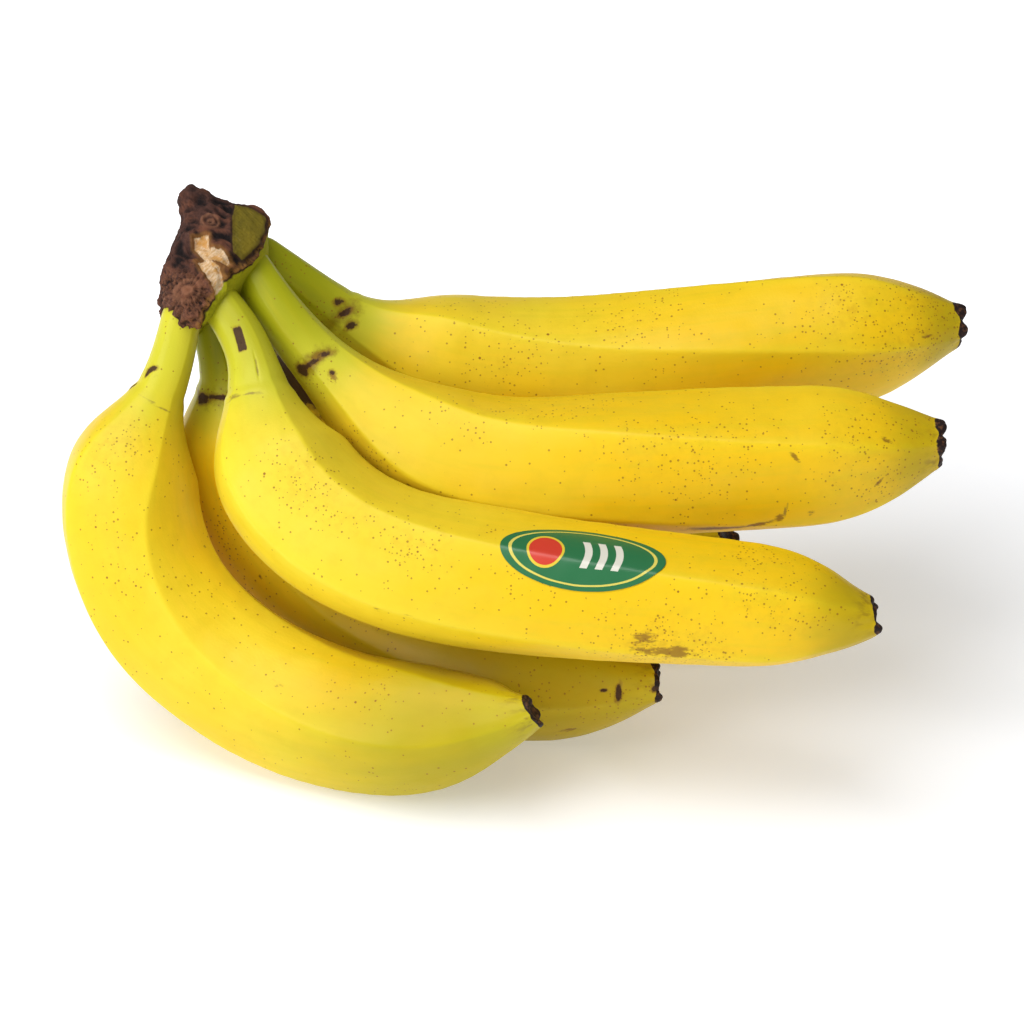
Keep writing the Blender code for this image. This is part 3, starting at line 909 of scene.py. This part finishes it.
def peelGroup():
    tree = bpy.data.node_groups.new("peel", "ShaderNodeTree")
    for name in ("Place", "Straight"):
        tree.interface.new_socket(name, in_out="INPUT", socket_type="NodeSocketVector")
    for name in peelFields:
        tree.interface.new_socket(name, in_out="INPUT", socket_type="NodeSocketFloat")
    tree.interface.new_socket("Color", in_out="OUTPUT", socket_type="NodeSocketColor")
    for name in ("Roughness", "Height"):
        tree.interface.new_socket(name, in_out="OUTPUT", socket_type="NodeSocketFloat")
    n = Nodes(tree)
    given = n.add("NodeGroupInput").outputs
    result = n.add("NodeGroupOutput").inputs
    place, straight = given["Place"], given["Straight"]

    # golden and lemon yellow in broad patches, finely mottled, with fine lengthwise streaks
    drift = n.around(n.noise(place, 20, 3), 1.6)
    patches = n.step(n.math("SUBTRACT", given["Ripe"], drift), 0.95, 0.0)
    colour = n.blend(patches, peel["golden"], peel["lemon"])
    mottled = n.step(n.noise(place, 170, 5, 0.65), 0.42, 0.74)
    colour = n.over(colour, peel["mottled"], mottled, 0.34)
    clouded = n.step(n.noise(n.stretch(straight, (1, 1, 0.5)), 75, 3, 0.6), 0.5, 0.78)
    colour = n.over(colour, peel["clouded"], clouded, 0.4)
    streaks = n.noise(n.stretch(straight, (1, 1, 0.05)), 420, 3)
    colour = n.over(colour, peel["streaked"], n.step(streaks, 0.4, 0.75), 0.25)
    # painted highlight: a paler yellow along the thin ridge lines
    colour = n.over(colour, peel["ridge"], given["Ridge"], 0.22)

    # lime and then green towards the stem, olive towards the end; where the olive reaches far up a
    # banana it is painted shade
    uneven = n.around(n.noise(n.stretch(straight, (1, 1, 0.25)), 90, 3), 0.4)
    green = n.plus(given["Green"], uneven)
    colour = n.blend(n.step(green, 0.05, 0.6), colour, peel["lime"])
    colour = n.blend(n.step(green, 0.5, 1.0), colour, n.blend(patches, peel["warmGreen"], peel["green"]))
    olive = n.step(n.plus(given["Olive"], uneven), 0.1, 1.0)
    colour = n.blend(olive, colour, n.blend(patches, peel["warmOlive"], peel["olive"]))
    faded = n.step(n.noise(n.stretch(straight, (1, 1, 0.15)), 260, 4, 0.6), 0.5, 0.8)
    tinted = n.math("MAXIMUM", olive, n.step(green, 0.05, 1.0))
    colour = n.over(colour, peel["faded"], n.times(faded, tinted), 0.35)

    # fine brown specks and a few larger ones, thick in patches
    clumps = n.step(n.noise(place, 75, 3, 0.6), 0.48, 0.68)
    wanted = n.times(n.step(given["Specks"], 0.05, 0.75), n.math("MULTIPLY_ADD", clumps, 0.6, 0.4))
    thinly = n.step(n.noise(place, 32, 2), 0.5, 0.7)
    fineShare = n.plus(wanted, n.math("MULTIPLY_ADD", thinly, 0.28, 0.05))
    largeShare = n.math("MULTIPLY_ADD", wanted, 0.5, n.math("MULTIPLY_ADD", thinly, 0.06, 0.012))
    fine = n.times(dotted(n, place, fineShare, peel["fineDots"]), 0.7)
    large = n.times(dotted(n, place, largeShare, peel["largeDots"]), 0.9)
    dots = n.math("MAXIMUM", fine, large)
    tanned = n.times(wanted, n.step(n.noise(place, 520, 4, 0.6), 0.42, 0.7))
    colour = n.over(colour, peel["tanned"], tanned, 0.32)
    colour = n.blend(dots, colour, peel["speck"])

    # tan scuffs, broken up by stretched noise
    rubbed = n.noise(n.stretch(straight, (1, 1, 0.35)), 760, 5, 0.7)
    scuff = n.step(n.times(given["Scuff"], rubbed), 0.28, 0.42)
    colour = n.over(colour, peel["scuff"], scuff, 0.8)

    # soft smudges, dark bruises with ragged edges, and thin dry creases
    coarse = n.math("SUBTRACT", n.noise(place, 260, 3, 0.6), 0.5)
    ragged = n.math("MULTIPLY_ADD", coarse, 0.75, n.around(n.noise(place, 760, 5, 0.7), 0.5))
    cloudy = n.around(n.noise(place, 330, 6, 0.7), 1.1)
    smudge = n.step(n.plus(given["Smudge"], cloudy), 0.32, 0.9)
    colour = n.over(colour, peel["smudge"], smudge, 0.8)
    bruised = n.plus(given["Bruise"], ragged)
    bruise = n.step(bruised, 0.44, 0.60)
    colour = n.over(colour, peel["bruiseEdge"], n.step(bruised, 0.22, 0.5), 0.6)
    scab = n.blend(n.noise(place, 900, 3), peel["scab"], peel["brownScab"])
    colour = n.over(colour, scab, bruise, 0.93)
    crease = n.step(n.plus(given["Crease"], ragged), 0.45, 0.75)
    colour = n.over(colour, peel["crease"], crease, 0.7)

    # brown folds before the end, and the dry lobes, almost black
    folds = n.step(n.noise(n.stretch(straight, (1, 1, 0.2)), 700, 4, 0.6), 0.45, 0.7)
    colour = n.over(colour, peel["fold"], n.times(given["Folded"], folds), 0.75)
    dry = n.step(n.plus(given["Dried"], n.around(n.noise(place, 700, 4), 0.7)), 0.42, 0.62)
    dryColour = n.blend(n.step(n.noise(place, 1100, 3), 0.45, 0.75), peel["dry"], peel["brownDry"])
    colour = n.blend(dry, colour, dryColour)
    n.put(result["Color"], colour)

    # satin skin with pores, rougher and wrinkled where it is dry
    rough = n.math("MULTIPLY_ADD", n.noise(place, 160, 3), 0.14, 0.36)
    dead = n.math("MAXIMUM", dry, bruise)
    n.put(result["Roughness"], n.plus(rough, n.times(dead, 0.18)))
    pores = n.times(n.noise(place, 1500, 3), 0.3)
    waves = n.times(streaks, 0.5)
    sunk = n.times(n.plus(dots, n.times(scuff, 0.6)), -0.4)
    wrinkles = n.times(n.times(n.noise(place, 800, 4), dead), 2.0)
    n.put(result["Height"], n.plus(n.plus(pores, waves), n.plus(sunk, wrinkles)))
    return tree


sharedPeel = peelGroup()


def peelMaterial(name, seed):
    made, n, shader = newMaterial(name, **peel["waxy"])
    place = n.add("ShaderNodeTexCoord").outputs["Object"]
    place = n.stretch(place, (1, 1, 1), (seed * 0.37, seed * 0.11, seed * 0.23))
    group = n.add("ShaderNodeGroup", node_tree=sharedPeel)
    n.put(group.inputs["Place"], place)
    n.put(group.inputs["Straight"], n.field("straight", "Vector"))
    for field in peelFields:
        n.put(group.inputs[field], n.field(field.lower()))
    n.put(shader.inputs["Base Color"], group.outputs["Color"])
    n.put(shader.inputs["Roughness"], group.outputs["Roughness"])
    n.bump(shader, group.outputs["Height"], *peel["bump"])
    return made


# linear red, green and blue
driedWood = {
    # painted shade, laid in the hollows of the crown's relief
    "hollow": (0.010, 0.006, 0.006),
    "purple": (0.085, 0.036, 0.026),
    "redBrown": (0.165, 0.060, 0.032),
    "redFibre": (0.29, 0.115, 0.055),
    "scar": (0.34, 0.15, 0.08),
    # pale fibres and a painted highlight on the raised parts of the wood
    "paleFibreHighlight": (0.36, 0.22, 0.15),
    "nearTear": (0.34, 0.15, 0.035),
    "rim": (0.36, 0.17, 0.035),
    "lastWood": (0.05, 0.022, 0.008),
    "foot": (0.33, 0.34, 0.004),
    "paleFoot": (0.42, 0.40, 0.01),
    "cutEdge": (0.035, 0.016, 0.008),
    "cut": (0.235, 0.175, 0.012),
    "darkCut": (0.145, 0.115, 0.010),
    "cutVein": (0.33, 0.25, 0.07),
    "bruisedCut": (0.10, 0.070, 0.008),
    "darkCream": (0.62, 0.36, 0.14),
    "cream": (0.86, 0.68, 0.47),
    "orange": (0.62, 0.30, 0.06),
    "bump": (0.9, 0.0012),   # strength, m
    "dull": {"Specular IOR Level": 0.2, "Roughness": 0.82},
}


def crownMaterial():
    made, n, shader = newMaterial("driedCrown", **driedWood["dull"])
    own = n.field("own", "Vector")
    fibres = n.noise(n.stretch(own, (1, 1, 0.25)), 900, 5, 0.7)
    blotches = n.noise(own, 210, 4, 0.6)
    wander = n.around(n.noise(own, 420, 5, 0.7), 0.5)

    # painted shade: almost black in the hollows of the relief, then purple-brown and red-brown wood on
    # what stands higher; pale fibres with a painted highlight on what stands up most
    relief = n.plus(n.field("relief"), n.around(fibres, 0.7))
    colour = n.blend(n.step(relief, 0.2, 0.7), driedWood["hollow"], driedWood["purple"])
    big = n.step(n.noise(own, 95, 4, 0.6), 0.45, 0.62)
    colour = n.over(colour, driedWood["redBrown"], big, n.step(relief, 0.25, 0.7))
    redFibres = n.times(n.step(n.noise(own, 1100, 5, 0.7), 0.35, 0.65), n.field("lobe"))
    colour = n.over(colour, driedWood["redFibre"], redFibres, 0.55)
    colour = n.over(colour, driedWood["scar"], n.field("scar"), 0.5)
    paleFibreHighlight = n.times(n.step(relief, 0.7, 1.0), n.step(fibres, 0.5, 0.62))
    colour = n.over(colour, driedWood["paleFibreHighlight"], paleFibreHighlight, 0.55)
    nearTear = n.step(n.plus(n.field("torn"), n.times(wander, 0.6)), 0.12, 0.5)
    colour = n.over(colour, driedWood["nearTear"], nearTear, 0.55)

    # an orange-brown rim where the wood meets the green foot
    wood = n.plus(n.field("wood"), n.times(wander, 0.5))
    rim = n.times(n.step(wood, 0.98, 0.7), n.step(fibres, 0.35, 0.6))
    colour = n.over(colour, driedWood["rim"], rim, 0.7)
    colour = n.blend(n.step(wood, 0.66, 0.58), colour, driedWood["lastWood"])
    footColour = n.blend(blotches, driedWood["foot"], driedWood["paleFoot"])
    colour = n.blend(n.step(wood, 0.56, 0.44), colour, footColour)

    # the flat green cut with a dark edge
    facet = n.plus(n.field("facet"), n.times(wander, 0.3))
    colour = n.over(colour, driedWood["cutEdge"], n.step(facet, 0.3, 0.48), 0.8)
    mottled = n.step(n.noise(own, 150, 5, 0.65), 0.35, 0.7)
    cutColour = n.blend(mottled, driedWood["cut"], driedWood["darkCut"])
    veins = n.step(n.noise(n.stretch(own, (1, 1, 0.4)), 480, 5, 0.75), 0.56, 0.72)
    cutColour = n.over(cutColour, driedWood["cutVein"], veins, 0.6)
    bruised = n.step(n.plus(facet, n.around(blotches, 0.7)), 0.9, 0.55)
    cutColour = n.over(cutColour, driedWood["bruisedCut"], bruised, 0.6)
    colour = n.blend(n.step(facet, 0.5, 0.58), colour, cutColour)

    # torn patches: cream fibres, orange near their lower ends
    torn = n.plus(n.field("torn"), n.times(wander, 0.8))
    strands = n.noise(n.stretch(own, (0.35, 0.35, 1)), 1300, 4, 0.7)
    cream = n.blend(n.step(strands, 0.35, 0.65), driedWood["darkCream"], driedWood["cream"])
    cream = n.over(cream, driedWood["orange"], n.step(blotches, 0.5, 0.62), 0.8)
    colour = n.blend(n.step(torn, 0.5, 0.6), colour, cream)
    n.put(shader.inputs["Base Color"], colour)
    wrinkles = n.noise(n.stretch(own, (1, 1, 0.3)), 620, 6, 0.7)
    n.bump(shader, n.plus(wrinkles, n.times(strands, 0.4)), *driedWood["bump"])
    return made


# linear red, green and blue
printed = {
    "green": (0.010, 0.150, 0.045),
    "line": (0.70, 0.60, 0.10),
    "yellow": (0.75, 0.55, 0.03),
    "red": (0.62, 0.035, 0.012),
    "cream": (0.72, 0.70, 0.60),
    "glossy": {"Coat Weight": 0.25, "Coat Roughness": 0.25, "Roughness": 0.4},
}


def labelMaterial():
    made, n, shader = newMaterial("labelPaper", **printed["glossy"])
    paper = n.field("paper", "Vector")
    x, y, _ = n.add("ShaderNodeSeparateXYZ", {"Vector": paper}).outputs
    halfLong, halfWide = (size * mm / 2 for size in label["size"])
    across = n.math("DIVIDE", x, halfLong)
    down = n.math("DIVIDE", y, halfWide)
    size = n.math("SQRT", n.plus(n.times(across, across), n.times(down, down)))

    def within(value, low, high):
        return n.times(n.math("GREATER_THAN", value, low), n.math("LESS_THAN", value, high))

    # a plain pattern: a pale line round the edge, a ringed dot at one end, bars at the other
    colour = n.blend(within(size, *label["line"]), printed["green"], printed["line"])
    dot = Vector(label["dot"]) * mm
    away = n.add("ShaderNodeVectorMath", {0: paper, 1: dot}, operation="DISTANCE").outputs["Value"]
    colour = n.blend(n.math("LESS_THAN", away, label["dotRing"] * mm), colour, printed["yellow"])
    colour = n.blend(n.math("LESS_THAN", away, label["dotSize"] * mm), colour, printed["red"])
    leaf = n.plus(x, n.times(n.times(y, y), label["barCurve"]))
    first, second, third = (within(leaf, low * mm, high * mm) for low, high in label["bars"])
    bars = n.math("MAXIMUM", n.math("MAXIMUM", first, second), third)
    high = label["barHeight"] * mm
    colour = n.over(colour, printed["cream"], bars, within(y, -high, high))
    n.put(shader.inputs["Base Color"], colour)
    return made


studio = {
    "floor": 14,             # m across
    # the table's painted glow: weak near this middle, strong further out
    "middle": (0.02, -0.01, 0),
    "glowFrom": 0.10,        # m from the middle
    "glowTo": 0.32,
    "nearGlow": 0.32,
    "farGlow": 0.72,
    "white": (0.80, 0.815, 0.85),
    "whiter": (0.81, 0.825, 0.86),
    "table": {"Roughness": 0.7, "Specular IOR Level": 0.1, "Emission Color": (1, 1, 1, 1)},
    "world": 0.2,
    # place, what it points at, width and height in m, watts
    "lights": {
        "keySoftbox": ((-1.05, -0.85, 0.75), (0, 0, 0.05), 0.8, 0.8, 10.5),
        "frontSoftbox": ((0.1, -1.3, 0.5), (0, 0, 0.05), 1.0, 0.7, 0.8),
        "topSoftbox": ((-0.35, -0.25, 1.25), (0, 0, 0.05), 0.9, 0.9, 11.5),
    },
}


def floorMaterial():
    # painted light: the table glows by itself, weakly near the middle so the floor round the bananas is
    # darker, and strongly further out so the background is white
    made, n, shader = newMaterial("whiteTable", **studio["table"])
    place = n.add("ShaderNodeTexCoord").outputs["Object"]
    shade = n.blend(n.noise(place, 3, 2), studio["white"], studio["whiter"])
    n.put(shader.inputs["Base Color"], shade)
    middle = {0: place, 1: studio["middle"]}
    away = n.add("ShaderNodeVectorMath", middle, operation="DISTANCE").outputs["Value"]
    sockets = {"Value": away, "From Min": studio["glowFrom"], "From Max": studio["glowTo"],
               "To Min": studio["nearGlow"], "To Max": studio["farGlow"]}
    glow = n.add("ShaderNodeMapRange", sockets, interpolation_type="SMOOTHSTEP").outputs[0]
    n.put(shader.inputs["Emission Strength"], glow)
    return made


def makeStudio():
    deselectAll()
    bpy.ops.mesh.primitive_plane_add(size=studio["floor"])
    floor = bpy.context.object
    floor.name = "tableTop"
    floor.data.materials.append(floorMaterial())
    world = bpy.data.worlds.new("lightTent")
    bpy.context.scene.world = world
    world.use_nodes = True
    background = world.node_tree.nodes["Background"]
    background.inputs["Color"].default_value = (1, 1, 1, 1)
    background.inputs["Strength"].default_value = studio["world"]
    for name, (place, target, width, height, power) in studio["lights"].items():
        bpy.ops.object.light_add(type="AREA", location=place)
        light = bpy.context.object
        light.name = name
        light.data.shape = "RECTANGLE"
        light.data.size = width
        light.data.size_y = height
        light.data.energy = power
        light.rotation_euler = (Vector(target) - Vector(place)).to_track_quat("-Z", "Y").to_euler()
    bpy.context.scene.view_settings.view_transform = "Standard"
    print("made the studio")


def makeCamera():
    deselectAll()
    lean = math.radians(camera["elevation"])
    back = Vector((0, -math.cos(lean), math.sin(lean)))
    target = Vector(camera["looksAt"])
    bpy.ops.object.camera_add(location=(target + back * camera["distance"]) * mm)
    eye = bpy.context.object
    eye.name = "photoView"
    eye.rotation_euler = (-back).to_track_quat("-Z", "Y").to_euler()
    eye.data.lens = camera["lens"]
    eye.data.sensor_width = camera["sensor"]
    eye.data.clip_start = camera["nearest"]
    bpy.context.scene.camera = eye
    print("made the camera")


makeCamera()
makeStudio()
made = {name: makeBanana(name, values) for name, values in bananas.items()}
makeCrown()
makeLabel(made["bananaMiddle"])
